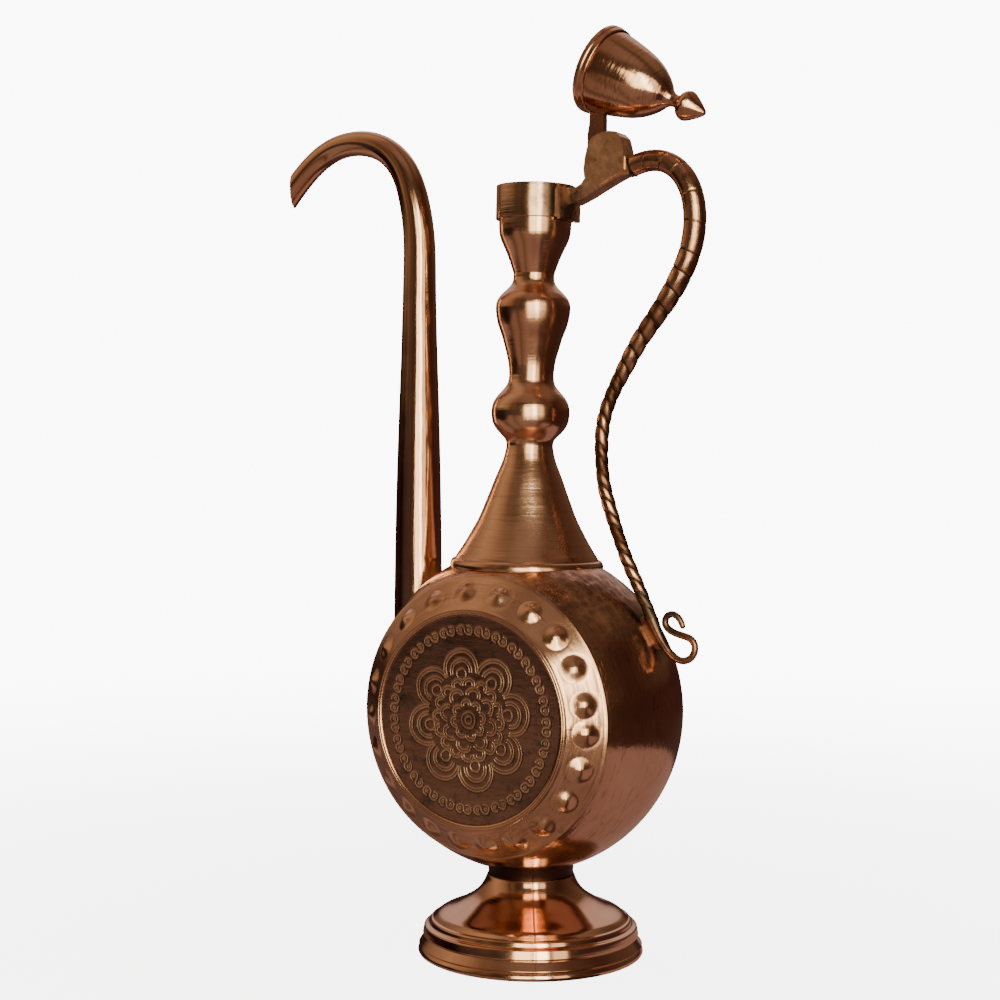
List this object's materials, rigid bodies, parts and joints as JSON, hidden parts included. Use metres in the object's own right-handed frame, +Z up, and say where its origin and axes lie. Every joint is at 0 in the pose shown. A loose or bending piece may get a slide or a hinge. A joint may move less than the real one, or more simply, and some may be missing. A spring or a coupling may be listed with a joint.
{
  "type": "copper ewer",
  "caption": "Drum-bodied copper water jug on a spun foot, with a turned neck, crook-necked spout, scrolled tube handle and hinged bell lid, stored open.",
  "frame": {"origin": "centre of the foot's base circle, on the surface that the jug stands on", "axes": "+Z up the foot's axis, the spout towards -X, the handle and the open lid towards +X, the engraved front face towards -Y"},
  "size_m": [0.2072, 0.0948, 0.3837],
  "materials": {
    "polished_copper": "polished copper",
    "hammered_copper": "polished copper with fine hammer and spinning marks",
    "engraved_copper": "darker copper, engraved",
    "turned_copper": "polished copper with fine lathe lines",
    "turned_bronze": "satin turned bronze",
    "cast_brass": "dull yellow casting",
    "scored_copper": "copper with scored rings and a twist",
    "solder": "dark soldered copper"
  },
  "bodies": {
    "jug": {"foot_rim_ring": "polished_copper", "foot_shell": "polished_copper", "body_band": "hammered_copper", "front_dish": "polished_copper", "rear_dish": "polished_copper", "front_medallion": "engraved_copper", "rear_medallion": "engraved_copper", "neck_cone": "turned_copper", "neck_base_ring": "turned_copper", "neck_bulb": "turned_copper", "neck_vase": "turned_copper", "neck_cup": "turned_copper", "mouth_band": "turned_bronze", "spout_tube": "polished_copper", "handle_bracket": "cast_brass", "handle_tube": "scored_copper", "handle_scroll": "scored_copper", "handle_foot_pad": "solder", "hinge_pin": "cast_brass"},
    "lid": {"lid_strap": "cast_brass", "lid_rim_ring": "turned_copper", "lid_bell": "turned_copper", "lid_finial": "turned_copper"}
  },
  "joints": [
    {"name": "lid_hinge", "type": "hinge", "parent": "jug", "child": "lid", "pos_m": [0.0303, 0, 0.3347], "axis": [0, 1, 0], "range_deg": [-114.4, 0]}
  ]
}
